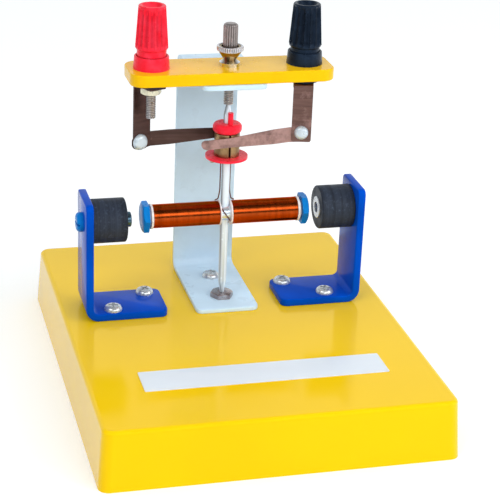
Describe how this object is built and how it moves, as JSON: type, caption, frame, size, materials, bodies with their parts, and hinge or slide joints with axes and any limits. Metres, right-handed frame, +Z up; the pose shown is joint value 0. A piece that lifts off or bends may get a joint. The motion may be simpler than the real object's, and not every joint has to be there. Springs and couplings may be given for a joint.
{
  "type": "demonstration_electric_motor",
  "caption": "Classroom demonstration electric motor: wound bar armature on a vertical pivot shaft between block magnets, leaf brushes, binding posts and a moulded base.",
  "frame": {"origin": "Middle of the base's underside outline, on the plane it stands on.", "axes": "+X to the right seen from the label side, +Y to the back where the column stands, +Z up along the shaft."},
  "size_m": [0.134, 0.1686, 0.1464],
  "materials": {
    "yellow_plastic": "glossy",
    "label_film": "satin",
    "yellow_board": "glossy",
    "grey_paint": "satin",
    "blue_paint": "glossy",
    "nickel": "bright",
    "steel": "bright",
    "magnet_black": "matte",
    "enamel_copper": "glossy",
    "insulation_white": "matte",
    "red_plastic": "glossy",
    "black_plastic": "glossy",
    "brass": "polished",
    "bronze_strip": "tarnished",
    "aluminium": "bright",
    "solder": "bright"
  },
  "bodies": {
    "frame": {"base_shell": "yellow_plastic", "label_plate": "label_film", "column": "grey_paint", "crossbar": "yellow_board", "bearing_bolt": "nickel", "bearing_nut": "nickel", "column_screw": "nickel", "bracket_screws": "nickel", "base_nuts": "nickel", "base_washers": "nickel", "left_bracket": "blue_paint", "right_bracket": "blue_paint", "left_magnet": "magnet_black", "right_magnet": "magnet_black", "left_magnet_bush": "nickel", "right_magnet_bush": "nickel", "left_magnet_bolt": "blue_paint", "right_magnet_bolt": "blue_paint", "left_stud": "nickel", "right_stud": "nickel", "red_collar": "red_plastic", "black_collar": "black_plastic", "terminal_nuts": "nickel", "underside_washers": "black_plastic"},
    "armature": {"shaft": "steel", "core_bolt": "blue_paint", "core_nut": "blue_paint", "coil_formers": "insulation_white", "left_coil": "enamel_copper", "right_coil": "enamel_copper", "coil_cheeks": "insulation_white", "crossover_wire": "enamel_copper", "lead_wires": "enamel_copper", "commutator_hub": "red_plastic", "left_segment": "brass", "right_segment": "brass", "solder_joints": "solder"},
    "left_brush_arm": {"left_brush_bracket": "bronze_strip", "left_brush": "bronze_strip", "left_rivet": "aluminium"},
    "right_brush_arm": {"right_brush_bracket": "bronze_strip", "right_brush": "bronze_strip", "right_rivet": "aluminium"},
    "pivot_screw": {"pivot_rod": "nickel"},
    "pivot_knob": {"pivot_head": "nickel"},
    "lock_nut": {"lock_nut_core": "nickel"},
    "lock_nut_grip": {"lock_nut_rim": "nickel"},
    "red_insert": {"red_cap_insert": "brass"},
    "red_knob": {"red_cap": "red_plastic"},
    "black_insert": {"black_cap_insert": "brass"},
    "black_knob": {"black_cap": "black_plastic"}
  },
  "joints": [
    {"name": "armature_spin", "type": "hinge", "parent": "frame", "child": "armature", "pos_m": [0, 0.0177, 0.061], "axis": [0, 0, 1], "continuous": true},
    {"name": "left_brush_swing", "type": "hinge", "parent": "frame", "child": "left_brush_arm", "pos_m": [-0.0305, 0.0177, 0.1], "axis": [0, 0, 1], "range_deg": [0, 25]},
    {"name": "right_brush_swing", "type": "hinge", "parent": "frame", "child": "right_brush_arm", "pos_m": [0.0298, 0.0177, 0.1], "axis": [0, 0, 1], "range_deg": [0, 25]},
    {"name": "pivot_screw_rise", "type": "slide", "parent": "frame", "child": "pivot_screw", "axis": [0, 0, 1], "range_m": [0, 0.0021]},
    {"name": "pivot_screw_turn", "type": "hinge", "parent": "pivot_screw", "child": "pivot_knob", "pos_m": [0, 0.0177, 0.1], "axis": [0, 0, 1], "range_deg": [0, 1085]},
    {"name": "lock_nut_rise", "type": "slide", "parent": "frame", "child": "lock_nut", "axis": [0, 0, 1], "range_m": [0, 0.0014]},
    {"name": "lock_nut_turn", "type": "hinge", "parent": "lock_nut", "child": "lock_nut_grip", "pos_m": [0, 0.0177, 0.1], "axis": [0, 0, 1], "range_deg": [0, 725]},
    {"name": "red_cap_rise", "type": "slide", "parent": "frame", "child": "red_insert", "axis": [0, 0, 1], "range_m": [0, 0.0035]},
    {"name": "red_cap_turn", "type": "hinge", "parent": "red_insert", "child": "red_knob", "pos_m": [-0.0305, 0.0177, 0.1], "axis": [0, 0, 1], "range_deg": [0, 1805]},
    {"name": "black_cap_rise", "type": "slide", "parent": "frame", "child": "black_insert", "axis": [0, 0, 1], "range_m": [0, 0.0035]},
    {"name": "black_cap_turn", "type": "hinge", "parent": "black_insert", "child": "black_knob", "pos_m": [0.0298, 0.0177, 0.1], "axis": [0, 0, 1], "range_deg": [0, 1805]}
  ],
  "couplings": [
    {"joint": "pivot_screw_turn", "follows": "pivot_screw_rise", "rad_per_m": 8976},
    {"joint": "lock_nut_turn", "follows": "lock_nut_rise", "rad_per_m": 8976},
    {"joint": "red_cap_turn", "follows": "red_cap_rise", "rad_per_m": 8976},
    {"joint": "black_cap_turn", "follows": "black_cap_rise", "rad_per_m": 8976}
  ]
}
